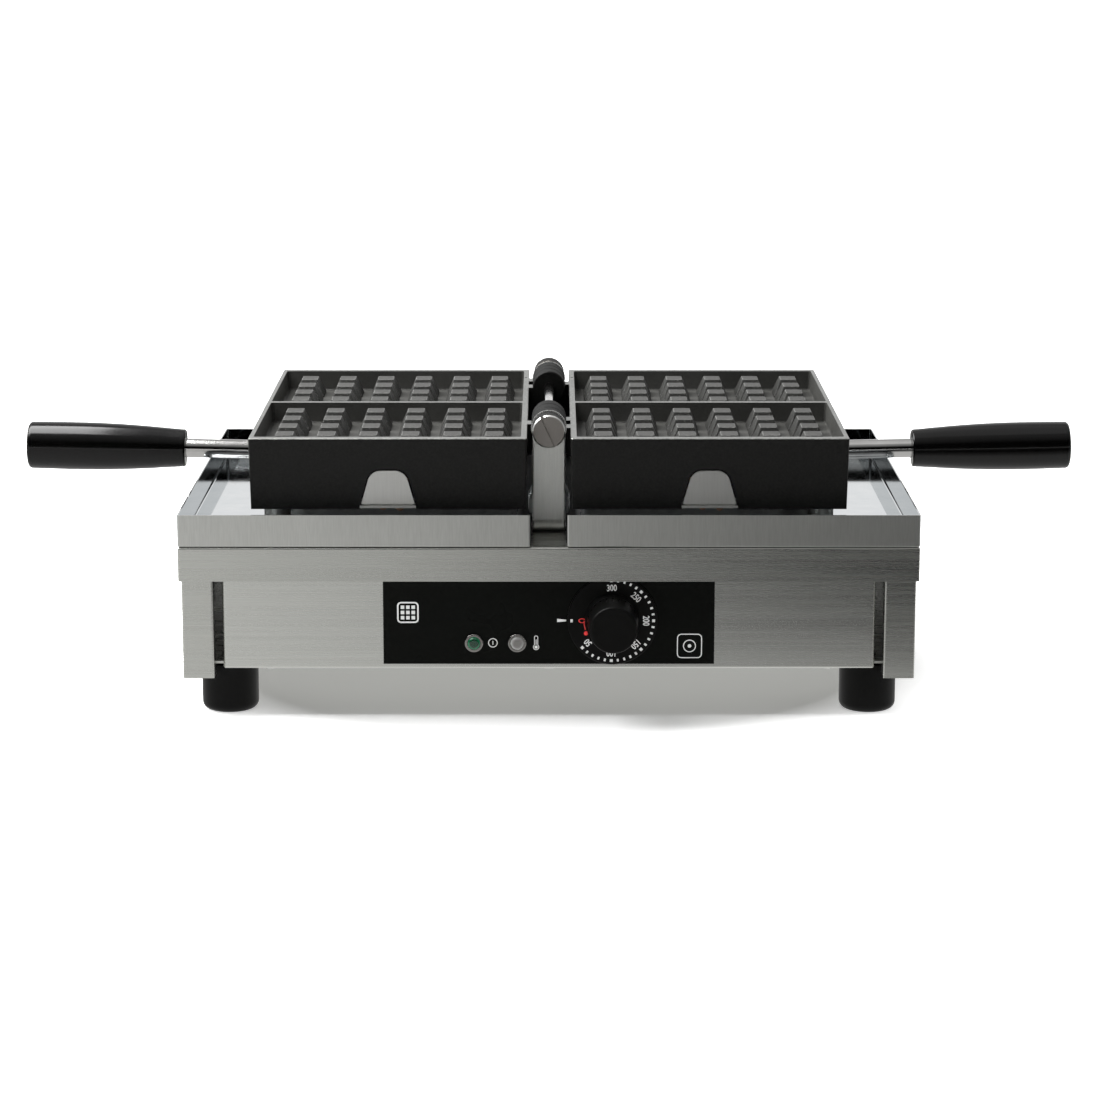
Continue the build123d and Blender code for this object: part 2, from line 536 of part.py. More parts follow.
def handle_grip():
    tilt = radians(ROD_TILT)
    start = (GRIP_START, 0, handle_line(GRIP_START))
    plane = Plane(origin=start, x_dir=(-sin(tilt), 0, cos(tilt)), z_dir=(cos(tilt), 0, sin(tilt)))
    length = (GRIP_END - GRIP_START) / cos(tilt)
    flank = Spline((11.8, 0.0), (13.6, 25.0), (15.0, 60.0), (14.75, length), tangents=[(0.06, 1), (-0.02, 1)])
    outline = flank + Polyline((14.75, length), (0, length), (0, 0), (11.8, 0))
    section = Plane(origin=plane.origin, x_dir=plane.x_dir, z_dir=-plane.y_dir)
    grip = revolve(section * make_face(outline), Axis(plane.origin, plane.z_dir))
    ends = grip.edges().filter_by(GeomType.CIRCLE).sort_by(Axis.X)
    grip = fillet(ends[-1], 2.5)
    grip = fillet(grip.edges().filter_by(GeomType.CIRCLE).sort_by(Axis.X)[0], 1.2)
    bore_end = GRIP_END - 11
    return grip - round_bar(ROD_R + FIT, (200, 0, handle_line(200)), (bore_end, 0, handle_line(bore_end)))


def cover_screw(u, y):
    head = upright(3.8, u, y, COVER_Z - 2, COVER_Z)
    head = fillet(head.edges().sort_by(Axis.Z)[0], 1.2)
    return head + upright(2, u, y, COVER_Z, COVER_Z + 12)


# ---- dial ---------------------------------------------------------------------------------
def dial_skirt():
    disc = along_y(DIAL_SKIRT_R, DIAL_X, DIAL_Z, DIAL_FACE_Y, DIAL_BACK_Y)
    disc = chamfer(disc.edges().sort_by(Axis.Y)[0], 0.5)
    return disc - along_y(SHAFT_R + FIT, DIAL_X, DIAL_Z, DIAL_FACE_Y - 1, DIAL_BACK_Y + 1)


def dial_knob():
    face = Plane(origin=(DIAL_X, DIAL_FACE_Y, DIAL_Z), x_dir=(1, 0, 0), z_dir=(0, -1, 0))
    reach = DIAL_FACE_Y - KNOB_FRONT_Y
    knob = turned([(0, 0), (16.7, 0), (15.2, 3), (14, reach), (0, reach)], face)
    knob = fillet(knob.edges().filter_by(GeomType.CIRCLE).sort_by(Axis.Y)[0], 1.4)
    for step in range(24):
        groove = face * Rot(0, 0, step * 15) * Pos(15.3, 0, 5) * Cylinder(
            0.7, reach, align=(Align.CENTER, Align.CENTER, Align.MIN)
        )
        knob -= groove
    return knob - along_y(SHAFT_R + FIT, DIAL_X, DIAL_Z, KNOB_FRONT_Y + 8, DIAL_FACE_Y + 1)


def thermostat_shaft():
    return along_y(SHAFT_R, DIAL_X, DIAL_Z, KNOB_FRONT_Y + 9, -PANEL_Y + 14)


# ---- assembly -----------------------------------------------------------------------------
def build_base():
    add("body_cover", body_cover())
    add("right_side_panel", side_panel())
    add("left_side_panel", to_left(side_panel()))
    add("front_panel", front_panel())
    add("rear_panel", rear_panel())
    add("bottom_pan", bottom_pan())
    corners = ("front_right_foot", "front_left_foot", "rear_right_foot", "rear_left_foot")
    for name, shape in zip(corners, four(foot())):
        add(name, shape)
    add("foot_screws", *four(foot_screw()))
    spots = [(x, y) for x in BASE_SCREW_X for y in (BASE_SCREW_Y, -BASE_SCREW_Y)]
    add("base_screws", *[base_screw(x, y) for x, y in spots])


def build_controls():
    add("fascia_label", fascia_label())
    for name, x in (("power", POWER_LAMP_X), ("heat", HEAT_LAMP_X)):
        add(name + "_lamp_bezel", lamp_bezel(x))
        add(name + "_lamp_lens", lamp_lens(x))
    add("thermostat_body", thermostat_body())
    add("thermostat_shaft", thermostat_shaft())
    add("dial_skirt", dial_skirt())
    add("dial_knob", dial_knob())
    add("safety_cutout", safety_cutout())
    add("terminal_block", terminal_block())
    add("cable_gland", cable_gland())
    add("gland_nut", gland_nut())


def build_hinge():
    add("hinge_bracket", hinge_bracket())
    add("bracket_bolts", bracket_bolt(-BRACKET_BOLT_Y), bracket_bolt(BRACKET_BOLT_Y))
    add("bracket_nuts", bracket_nut(-BRACKET_BOLT_Y), bracket_nut(BRACKET_BOLT_Y))
    add("hinge_shaft", along_y(SHAFT_R, 0, AXIS_Z, -BRACKET_Y - 3, BRACKET_Y + REAR_CAP_T - 2))
    add("front_shaft_cap", front_shaft_cap())
    add("rear_shaft_cap", rear_shaft_cap())
    add("shaft_washers", shaft_washer(-1), shaft_washer(1))
    add("lead_conduit", lead_conduit())
    add("rear_guard", rear_guard())
    add("guard_screw", guard_screw())


def build_side(side, place, eyes):
    """One tray and one plate; place carries a right-hand shape to its side."""
    add(side + "_drip_tray", place(drip_tray()))
    add(side + "_casting", place(casting(eyes)))
    pieces = {
        "waffle_studs": waffle_studs(),
        "bottom_cover": [bottom_cover()],
        "heating_element": [heating_element()],
        "element_clamp": [element_clamp()],
        "terminal_cover": [terminal_cover()],
        "terminals": terminals(),
        "rest_feet": rest_feet(),
        "handle_rod": [handle_rod()],
        "handle_grip": [handle_grip()],
        "cover_screws": [cover_screw(u, y) for u, y in SCREW_SPOTS],
    }
    for name, shapes in pieces.items():
        add(f"{side}_{name}", *[place(shape) for shape in shapes])


build_base()
build_controls()
build_hinge()
# Both plates have three eyes at each end that share the shaft: outer and inner on one, middle on the other.
build_side("right", lambda shape: shape, [(-1, 0), (-1, 2), (1, 1)])
build_side("left", to_left, [(-1, 1), (1, 0), (1, 2)])

os.makedirs("parts", exist_ok=True)
for name, shape in nodes.items():
    export_step(shape, f"parts/{name}.step")
print(len(nodes), "nodes")
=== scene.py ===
import json
from math import cos, pi, radians, sin

import bmesh
import bpy
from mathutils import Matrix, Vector


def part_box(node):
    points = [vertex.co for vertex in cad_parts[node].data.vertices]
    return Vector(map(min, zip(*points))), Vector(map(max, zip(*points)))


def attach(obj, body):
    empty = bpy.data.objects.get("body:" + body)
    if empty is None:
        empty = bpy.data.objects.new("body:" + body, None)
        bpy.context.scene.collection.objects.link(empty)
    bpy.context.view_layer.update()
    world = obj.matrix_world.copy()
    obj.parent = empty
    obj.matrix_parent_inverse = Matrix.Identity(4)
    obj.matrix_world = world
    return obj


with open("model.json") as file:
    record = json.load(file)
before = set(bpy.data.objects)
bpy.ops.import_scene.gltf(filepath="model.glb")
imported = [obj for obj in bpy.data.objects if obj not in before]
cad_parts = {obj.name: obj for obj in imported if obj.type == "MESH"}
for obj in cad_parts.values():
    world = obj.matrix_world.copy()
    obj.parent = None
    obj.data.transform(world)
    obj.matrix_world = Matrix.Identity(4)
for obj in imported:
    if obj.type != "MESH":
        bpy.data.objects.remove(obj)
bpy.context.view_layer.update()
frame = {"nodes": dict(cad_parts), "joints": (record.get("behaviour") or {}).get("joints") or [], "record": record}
nodes = frame["nodes"]

MM = 0.001
SIDES = ("left", "right")
WHITE = (1.0, 1.0, 1.0)

# ---- camera -------------------------------------------------------------------------------
LENS, SENSOR = 106.9, 36.0           # millimetres
TILT = 11.86                         # degrees below level
CAMERA_PLACE = (0.0007, -2.043, 0.501)

# ---- places on the plates and the hinge ---------------------------------------------------
HINGE_Z = next(j for j in frame["joints"] if j["name"] == "right_plate_hinge")["pos_m"][2]
RIM_TOP = HINGE_Z - 0.25 * MM
EYE_RADIUS = 10.4 * MM


def link_object(name, data):
    made = bpy.data.objects.new(name, data)
    bpy.context.scene.collection.objects.link(made)
    return made


# ---- shader graphs ------------------------------------------------------------------------
class Graph:
    """The node tree of a material or of the world.

    Most methods add a node and return its output socket. A mask is 1 where it holds and 0 elsewhere.
    """

    def __init__(self, owner, shader="Principled BSDF"):
        owner.use_nodes = True
        self.owner = owner
        self.tree = owner.node_tree
        self.shader = self.tree.nodes[shader]
        self.coordinates = self.tree.nodes.new("ShaderNodeTexCoord")

    def feed(self, value, socket):
        """Links an output, or sets a constant; a constant colour is given without its alpha."""
        if isinstance(value, bpy.types.NodeSocket):
            self.tree.links.new(value, socket)
        elif socket.type == "RGBA":
            socket.default_value = (*value, 1.0)
        else:
            socket.default_value = value

    def point(self):
        return self.coordinates.outputs["Object"]

    def part(self, vector, axis):
        split = self.tree.nodes.new("ShaderNodeSeparateXYZ")
        self.feed(vector, split.inputs[0])
        return split.outputs[axis]

    def normal(self, axis):
        return self.part(self.coordinates.outputs["Normal"], axis)

    def vector(self, operation, a, b=(0.0, 0.0, 0.0)):
        node = self.tree.nodes.new("ShaderNodeVectorMath")
        node.operation = operation
        self.feed(a, node.inputs[0])
        self.feed(b, node.inputs[1])
        return node.outputs["Value" if operation == "LENGTH" else "Vector"]

    def math(self, operation, a, b=0.0):
        node = self.tree.nodes.new("ShaderNodeMath")
        node.operation = operation
        self.feed(a, node.inputs[0])
        self.feed(b, node.inputs[1])
        return node.outputs[0]

    def absolute(self, value):
        return self.math("ABSOLUTE", value)

    def less(self, value, limit):
        return self.math("LESS_THAN", value, limit)

    def more(self, value, limit):
        return self.math("GREATER_THAN", value, limit)

    def near(self, value, target, tolerance):
        mask = self.math("COMPARE", value, target)
        mask.node.inputs[2].default_value = tolerance
        return mask

    def every(self, first, *others):
        """The mask of where all of them hold."""
        for mask in others:
            first = self.math("MULTIPLY", first, mask)
        return first

    def add(self, value, amount, mask=None):
        """Adds the amount, and only where the mask holds if there is one."""
        return self.math("ADD", value, amount if mask is None else self.math("MULTIPLY", mask, amount))

    def opposite(self, mask):
        return self.math("SUBTRACT", 1.0, mask)

    def from_hinge(self):
        """The distance from the hinge axis."""
        place = self.vector("SUBTRACT", self.point(), (0.0, 0.0, HINGE_Z))
        return self.vector("LENGTH", self.vector("MULTIPLY", place, (1.0, 0.0, 1.0)))

    def span(self, value, low, high, start=0.0, end=1.0):
        """Maps value from low..high onto start..end, and holds it there outside."""
        node = self.tree.nodes.new("ShaderNodeMapRange")
        for socket, given in zip(node.inputs, (value, low, high, start, end)):
            self.feed(given, socket)
        return node.outputs[0]

    def spread(self, noise, start=0.0, end=1.0):
        """Maps the middle of a noise's range, where most of it lies, onto start..end."""
        return self.span(noise, 0.3, 0.7, start, end)

    def noise(self, stretch, detail=3.0, roughness=0.55):
        """Noise over the object's own coordinates, with that many features per metre."""
        stretch = stretch if isinstance(stretch, tuple) else (stretch,) * 3
        node = self.tree.nodes.new("ShaderNodeTexNoise")
        node.inputs["Scale"].default_value = 1.0
        node.inputs["Detail"].default_value = detail
        node.inputs["Roughness"].default_value = roughness
        self.feed(self.vector("MULTIPLY", self.point(), stretch), node.inputs["Vector"])
        return node.outputs["Fac"]

    def mix(self, factor, a, b):
        node = self.tree.nodes.new("ShaderNodeMix")
        node.data_type = "RGBA"
        self.feed(factor, node.inputs[0])
        self.feed(a, node.inputs[6])
        self.feed(b, node.inputs[7])
        return node.outputs[2]

    def bump(self, height, strength, depth):
        node = self.tree.nodes.new("ShaderNodeBump")
        node.inputs["Strength"].default_value = strength
        node.inputs["Distance"].default_value = depth
        self.feed(height, node.inputs["Height"])
        self.feed(node.outputs[0], self.shader.inputs["Normal"])

    def finish(self, color, roughness, metallic=0.0, **others):
        """Feeds the shader; the others are named after its sockets."""
        for value, name in ((color, "Base Color"), (roughness, "Roughness"), (metallic, "Metallic")):
            self.feed(value, self.shader.inputs[name])
        for name, value in others.items():
            self.feed(value, self.shader.inputs[name.replace("_", " ")])


def material_graph(name):
    """Starts a new material, which dress_nodes and new_piece find under this name."""
    materials[name] = bpy.data.materials.new(name)
    return Graph(materials[name])


def scaled(values, factor):
    return tuple(value * factor for value in values)


# ---- materials ----------------------------------------------------------------------------
materials = {}
FINE, FINEST = 0.00002, 0.00001      # depths of brushing and of polishing marks


def brushed(name, color, roughness, streaks, contrast=0.10, metallic=1.0):
    """Steel with fine streaks; streaks is how often they change per metre along x, y and z."""
    g = material_graph(name)
    fine = g.noise(streaks, 2.0)
    broad = g.noise(scaled(streaks, 0.22), 2.0)
    clouds = g.noise(9.0, 2.0)
    lines = g.math("ADD", g.math("MULTIPLY", fine, 0.7), g.math("MULTIPLY", broad, 0.3))
    base = g.mix(g.spread(lines), scaled(color, 1 - contrast), scaled(color, 1 + contrast))
    base = g.mix(g.span(clouds, 0.35, 0.65, 0.0, 0.25), base, scaled(color, 0.94))
    g.bump(lines, 0.35, FINE)
    g.finish(base, g.spread(lines, roughness - 0.04, roughness + 0.05), metallic)


def tray_steel():
    """Brushed upright outside, polished inside, with painted shade: darker inner side walls and a dark strip by
    the hinge.
    """
    skin = 0.3 * MM                              # an outer face is this near the tray's box
    painted_hinge_shade_start, painted_hinge_shade_end = 16 * MM, 24 * MM      # distances from the middle of the machine
    g = material_graph("tray_stainless")
    x, y = [g.absolute(g.part(g.point(), axis)) for axis in (0, 1)]
    low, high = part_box("right_drip_tray")
    outer = g.math("MAXIMUM", g.more(x, high.x - skin), g.more(y, high.y - skin))
    outer = g.math("MAXIMUM", outer, g.less(g.part(g.point(), 2), low.z + skin))
    painted_side_wall_shade = g.more(g.absolute(g.normal(0)), 0.9)
    # painted shade: a dark, rough, non-metal strip beside the hinge, on the inside only
    painted_hinge_shade = g.every(g.span(x, painted_hinge_shade_start, painted_hinge_shade_end, 1.0, 0.0), g.opposite(outer))
    streaks = g.noise((1500.0, 1500.0, 110.0), 2.0)
    swirl = g.noise(60.0, 3.0)

    brushed_color = g.mix(g.spread(streaks), (0.59, 0.595, 0.57), (0.65, 0.655, 0.63))
    polished_color = g.mix(g.spread(swirl), (0.52, 0.55, 0.57), (0.60, 0.62, 0.63))
    # painted shade: the polished inner side walls get a much darker colour
    polished_color = g.mix(painted_side_wall_shade, polished_color, (0.20, 0.24, 0.255))
    color = g.mix(painted_hinge_shade, g.mix(outer, polished_color, brushed_color), (0.006, 0.006, 0.006))
    roughness = g.add(g.spread(swirl, 0.03, 0.07), 0.31, outer)
    roughness = g.add(roughness, 0.4, painted_hinge_shade)
    g.bump(g.math("MULTIPLY", streaks, outer), 0.3, FINE)
    g.finish(color, roughness, g.opposite(painted_hinge_shade), Specular_IOR_Level=0.1)


def cast_iron():
    """Black enamel outside, seasoned iron in the compartments, bare machined rim and dark turned eyes."""
    compartment_depth = 13.2 * MM
    hinge_wall, outer_wall, end_wall = 16.3 * MM, 2.3 * MM, 6.0 * MM
    rim_start = EYE_RADIUS + 0.2 * MM
    g = material_graph("cast_iron")
    x, y = [g.absolute(g.part(g.point(), axis)) for axis in (0, 1)]
    z = g.part(g.point(), 2)
    low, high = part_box("right_casting")
    depth = max(abs(low.y), high.y)
    inside = g.every(
        g.more(z, RIM_TOP - compartment_depth), g.more(x, hinge_wall),
        g.less(x, high.x - outer_wall), g.less(y, depth - end_wall),
    )
    rim = g.every(g.near(z, RIM_TOP, 0.45 * MM), g.more(g.normal(2), 0.5), g.more(x, rim_start))
    turned = g.every(g.near(g.from_hinge(), EYE_RADIUS, 0.25 * MM), g.less(g.absolute(g.normal(1)), 0.5))
    grain = g.noise(750.0, 5.0, 0.65)
    fine = g.noise(2400.0, 3.0)
    patches = g.noise(22.0, 3.0)
    scratch = g.noise((60.0, 1600.0, 60.0), 2.0)
    pores = g.noise(620.0, 3.0, 0.6)

    enamel = g.mix(g.span(grain, 0.35, 0.7), (0.0052, 0.0052, 0.0048), (0.0105, 0.0105, 0.0098))
    seasoned = g.mix(g.span(patches, 0.35, 0.65), (0.048, 0.048, 0.044), (0.072, 0.072, 0.067))
    seasoned = g.mix(g.span(fine, 0.4, 0.7, 0.0, 0.5), seasoned, (0.10, 0.10, 0.095))
    machined = g.mix(g.spread(scratch), (0.21, 0.215, 0.205), (0.33, 0.335, 0.32))
    machined = g.mix(g.span(patches, 0.4, 0.7, 0.0, 0.5), machined, (0.17, 0.17, 0.16))
    machined = g.mix(g.span(pores, 0.50, 0.66, 0.0, 0.65), machined, (0.085, 0.085, 0.08))
    machined = g.mix(g.span(pores, 0.34, 0.46, 0.35, 0.0), machined, (0.50, 0.505, 0.49))
    color = g.mix(inside, enamel, seasoned)
    color = g.mix(turned, color, (0.017, 0.017, 0.0165))
    color = g.mix(rim, color, machined)
    roughness = g.add(g.spread(grain, 0.42, 0.56), -0.12, rim)
    roughness = g.add(roughness, 0.35, turned)
    height = g.add(grain, g.math("MULTIPLY", fine, 0.4))
    as_cast = g.opposite(g.math("MULTIPLY", g.math("MAXIMUM", rim, turned), 0.8))
    g.bump(g.math("MULTIPLY", height, as_cast), 0.5, 0.00018)
    g.finish(color, roughness, g.math("MULTIPLY", rim, 0.9), Specular_IOR_Level=0.16)


def waffle_iron():
    """Seasoned cast iron with painted highlights: the studs' tops a little lighter, and their rounded edges more
    so.
    """
    g = material_graph("waffle_grid")
    grain = g.noise(900.0, 4.0, 0.6)
    patches = g.noise(30.0, 3.0)
    specks = g.noise(1500.0, 1.0)
    painted_top_highlight = g.more(g.part(g.point(), 2), RIM_TOP - 1.4 * MM)
    painted_edge_highlight = g.near(g.normal(2), 0.83, 0.13)       # neither level nor upright
    base = g.mix(g.span(patches, 0.35, 0.65), (0.030, 0.030, 0.028), (0.046, 0.046, 0.043))
    # painted highlight: the studs' tops, which face up, are lighter
    base = g.mix(g.math("MULTIPLY", painted_top_highlight, 0.7), base, (0.056, 0.056, 0.053))
    base = g.mix(g.span(grain, 0.45, 0.75, 0.0, 0.45), base, (0.075, 0.075, 0.071))
    # painted highlight: the rounded edges, lighter still
    base = g.mix(g.math("MULTIPLY", painted_edge_highlight, g.span(grain, 0.35, 0.6, 0.4, 0.9)), base, (0.17, 0.17, 0.165))
    base = g.mix(g.span(specks, 0.64, 0.74, 0.0, 0.7), base, (0.24, 0.24, 0.23))
    g.bump(grain, 0.45, 0.00014)
    g.finish(base, g.spread(grain, 0.46, 0.62), Specular_IOR_Level=0.16)


def plastic(name, color, roughness, grain, depth, specular=0.5):
    """Moulded plastic, rubber or ceramic, or paint; grain is how often it changes per metre."""
    g = material_graph(name)
    fine = g.noise(grain, 3.0)
    patches = g.noise(40.0, 2.0)
    base = g.mix(g.span(fine, 0.35, 0.7), scaled(color, 0.85), scaled(color, 1.2))
    g.bump(fine, 0.3, depth)
    g.finish(base, g.add(g.spread(patches, -0.03, 0.03), roughness), Specular_IOR_Level=specular)


def bakelite():
    """Polished moulded black, with faint buffing marks round the grip."""
    g = material_graph("black_bakelite")
    marks = g.noise((900.0, 40.0, 40.0), 2.0)
    clouds = g.noise(35.0, 2.0)
    base = g.mix(g.spread(marks), (0.0008, 0.0008, 0.0008), (0.0016, 0.0016, 0.0016))
    g.bump(marks, 0.12, FINEST)
    g.finish(base, g.spread(clouds, 0.12, 0.19), Specular_IOR_Level=0.30)


def turned_steel(name, color, roughness):
    """Polished or turned metal with faint marks."""
    g = material_graph(name)
    marks = g.noise(700.0, 2.0)
    clouds = g.noise(80.0, 2.0)
    base = g.mix(g.spread(clouds), scaled(color, 0.93), scaled(color, 1.05))
    g.bump(marks, 0.15, FINEST)
    g.finish(base, g.spread(marks, roughness, roughness + 0.08), 1.0)


def cap_steel():
    """The shaft's end caps: grained faces, chamfer and slot walls painted light as a highlight, dark rough side.
    """
    side_start = 9.6 * MM                        # distance from the hinge axis
    g = material_graph("cap_steel")
    grain = g.noise(1800.0, 3.0)
    face = g.absolute(g.normal(1))
    bright = g.less(face, 0.9)
    side = g.every(g.more(g.from_hinge(), side_start), g.less(face, 0.15))
    base = g.mix(g.spread(grain), (0.35, 0.325, 0.305), (0.43, 0.405, 0.38))
    # painted highlight: the chamfer and slot walls get a much lighter colour than the face
    base = g.mix(side, g.mix(bright, base, (0.70, 0.70, 0.68)), (0.014, 0.013, 0.012))
    roughness = g.add(g.add(0.44, -0.1, bright), 0.35, side)
    g.bump(grain, 0.2, 0.00003)
    g.finish(base, roughness, g.opposite(side), Specular_IOR_Level=0.2)


def bracket_steel():
    """Satin bar, brushed upwards, its rounded top dark, rough and not metallic."""
    g = material_graph("bracket_steel")
    color = (0.80, 0.805, 0.77)
    lines = g.noise((1100.0, 900.0, 60.0), 2.0)
    grain = g.noise(1800.0, 3.0)
    top = g.every(g.more(g.part(g.point(), 2), HINGE_Z + 1 * MM), g.less(g.absolute(g.normal(1)), 0.4))
    base = g.mix(g.spread(lines), scaled(color, 0.95), scaled(color, 1.05))
    base = g.mix(g.span(grain, 0.4, 0.7, 0.0, 0.3), base, scaled(color, 0.85))
    base = g.mix(top, base, (0.016, 0.0155, 0.015))
    roughness = g.add(g.spread(lines, 0.36, 0.43), 0.4, top)
    g.bump(g.add(lines, grain), 0.25, FINE)
    g.finish(base, roughness, g.span(top, 0.0, 1.0, 0.78, 0.0), Specular_IOR_Level=0.2)


def heated_sheath():
    """The element's tube, coloured unevenly by heat."""
    g = material_graph("element_sheath")
    heat = g.noise(25.0, 2.0)
    fine = g.noise(1200.0, 3.0)
    base = g.mix(g.span(heat, 0.35, 0.65), (0.10, 0.085, 0.075), (0.17, 0.16, 0.17))
    g.bump(fine, 0.2, 0.00003)
    g.finish(base, g.spread(fine, 0.35, 0.5), 0.9)


def lens(name, deep, bright):
    """A glossy moulded lens: deep in the middle of its dome, brighter towards the edge."""
    g = material_graph(name)
    facing = g.absolute(g.normal(1))
    rings = g.noise(1500.0, 2.0)
    base = g.mix(g.span(facing, 0.6, 1.0), bright, deep)
    g.bump(rings, 0.15, 0.00003)
    g.finish(base, g.spread(rings, 0.10, 0.16), Coat_Weight=0.6, Coat_Roughness=0.05)


def print_ink(name, color):
    """Printing ink, very slightly uneven."""
    g = material_graph(name)
    speckle = g.noise(2500.0, 2.0)
    base = g.mix(g.span(speckle, 0.35, 0.65), scaled(color, 0.92), color)
    g.finish(base, g.spread(speckle, 0.4, 0.5))


STEEL = (0.58, 0.585, 0.555)
ALONG_X = (7.0, 900.0, 1400.0)       # brushed left to right: streaks change slowly along x


def make_materials():
    brushed("brushed_stainless", STEEL, 0.27, ALONG_X)
    brushed("front_stainless", (0.65, 0.655, 0.625), 0.27, ALONG_X)
    brushed("side_stainless", STEEL, 0.27, (7.0, 7.0, 1400.0))
    brushed("tab_steel", (0.70, 0.70, 0.68), 0.38, (900.0, 900.0, 40.0), 0.05)
    brushed("conduit_steel", (0.80, 0.80, 0.78), 0.22, (500.0, 40.0, 500.0), 0.06, 0.45)
    brushed("cover_steel", (0.42, 0.42, 0.40), 0.36, ALONG_X, 0.08)
    tray_steel()
    bracket_steel()
    cap_steel()
    turned_steel("polished_steel", (0.50, 0.495, 0.485), 0.08)
    turned_steel("washer_steel", (0.88, 0.88, 0.86), 0.24)
    turned_steel("bezel_steel", (0.30, 0.29, 0.28), 0.10)
    turned_steel("zinc_steel", (0.66, 0.66, 0.64), 0.20)
    heated_sheath()
    cast_iron()
    waffle_iron()
    bakelite()
    plastic("ceramic", (0.36, 0.22, 0.14), 0.5, 1500.0, 0.00004)
    plastic("white_ceramic", (0.70, 0.68, 0.64), 0.45, 1200.0, 0.00004)
    plastic("black_plastic", (0.003, 0.003, 0.0028), 0.40, 1800.0, 0.00004, 0.10)
    plastic("gland_plastic", (0.03, 0.03, 0.03), 0.5, 1200.0, 0.00005, 0.4)
    plastic("fascia_film", (0.0030, 0.0034, 0.0028), 0.30, 500.0, 0.00001, 0.06)
    plastic("rubber", (0.003, 0.003, 0.0028), 0.42, 900.0, 0.00006, 0.12)
    # black_sheet dresses the rear guard: a dark sheet put in the gap behind the hinge, painted shade for the
    # darkness there
    plastic("black_sheet", (0.004, 0.004, 0.004), 0.45, 1600.0, 0.00005, 0.1)
    lens("green_lens", (0.003, 0.030, 0.014), (0.008, 0.13, 0.055))
    lens("clear_lens", (0.12, 0.115, 0.11), (0.36, 0.36, 0.35))
    print_ink("white_print", (0.62, 0.63, 0.62))
    print_ink("red_print", (0.80, 0.012, 0.008))


OWN_MATERIAL = {                     # nodes that look different from the rest of their slot
    "left_side_panel": "side_stainless", "right_side_panel": "side_stainless",
    "front_panel": "front_stainless",
    "shaft_washers": "washer_steel", "lead_conduit": "conduit_steel",
    "front_shaft_cap": "cap_steel", "rear_shaft_cap": "cap_steel",
    "power_lamp_bezel": "bezel_steel", "heat_lamp_bezel": "bezel_steel",
    "left_terminal_cover": "tab_steel", "right_terminal_cover": "tab_steel",
}


def dress_nodes():
    for row in frame["record"]["subparts"]:
        name = row["node"]
        chosen = materials[OWN_MATERIAL.get(name, row["material_slot"])]
        for slot in nodes[name].material_slots:
            slot.material = chosen


# ---- softened edges of the studs ----------------------------------------------------------
def weld_group():
    """Joins the vertices that the import split, and shades smooth except at sharp edges."""
    group = bpy.data.node_groups.new("weld", "GeometryNodeTree")
    for direction in ("INPUT", "OUTPUT"):
        group.interface.new_socket("Geometry", in_out=direction, socket_type="NodeSocketGeometry")
    add = group.nodes.new
    start, end = add("NodeGroupInput"), add("NodeGroupOutput")
    clear, weld = add("GeometryNodeRemoveAttribute"), add("GeometryNodeMergeByDistance")
    clear.inputs["Name"].default_value = "custom_normal"
    weld.inputs["Distance"].default_value = 0.002 * MM
    angle, sharp = add("GeometryNodeInputMeshEdgeAngle"), add("FunctionNodeCompare")
    sharp.inputs[1].default_value = radians(28)
    faces, edges = add("GeometryNodeSetShadeSmooth"), add("GeometryNodeSetShadeSmooth")
    edges.domain = "EDGE"
    edges.inputs["Shade Smooth"].default_value = False
    path = [start, clear, weld, faces, edges, end]
    for source, target in zip(path, path[1:]):
        group.links.new(source.outputs[0], target.inputs[0])
    group.links.new(angle.outputs[0], sharp.inputs[0])
    group.links.new(sharp.outputs[0], edges.inputs["Selection"])
    return group


def soften_studs():
    """Rounds the studs' sharp edges a little, as modifiers over the untouched mesh."""
    group = weld_group()
    for side in SIDES:
        studs = nodes[side + "_waffle_studs"]
        studs.modifiers.new("weld", "NODES").node_group = group
        bevel = studs.modifiers.new("bevel", "BEVEL")
        bevel.width = 0.9 * MM
        bevel.segments = 3
        bevel.limit_method = "ANGLE"
        bevel.angle_limit = radians(40)
        bevel.harden_normals = True
        bevel.use_clamp_overlap = False


# ---- flat marks: outlines are (x, z) points, and a mark lies in a face at one y -----------
PROUD = 0.06 * MM                    # how far a printed mark stands out of its face


def new_piece(name, mesh_maker, material, body, smooth=False):
    made = bmesh.new()
    mesh_maker(made)
    bmesh.ops.recalc_face_normals(made, faces=made.faces)
    mesh = bpy.data.meshes.new(name)
    made.to_mesh(mesh)
    made.free()
    for face in mesh.polygons:
        face.use_smooth = smooth
    mesh.materials.append(materials[material])
    piece = link_object(name, mesh)
    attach(piece, body)


def prism(made, outline, face_y):
    """A thin flat mark inside an outline."""
    rear = [made.verts.new((x, face_y + PROUD, z)) for x, z in outline]
    face = [made.verts.new((x, face_y - PROUD, z)) for x, z in outline]
    made.faces.new(face)
    made.faces.new(rear[::-1])
    for i in range(len(outline)):
        j = (i + 1) % len(outline)
        made.faces.new((rear[i], rear[j], face[j], face[i]))


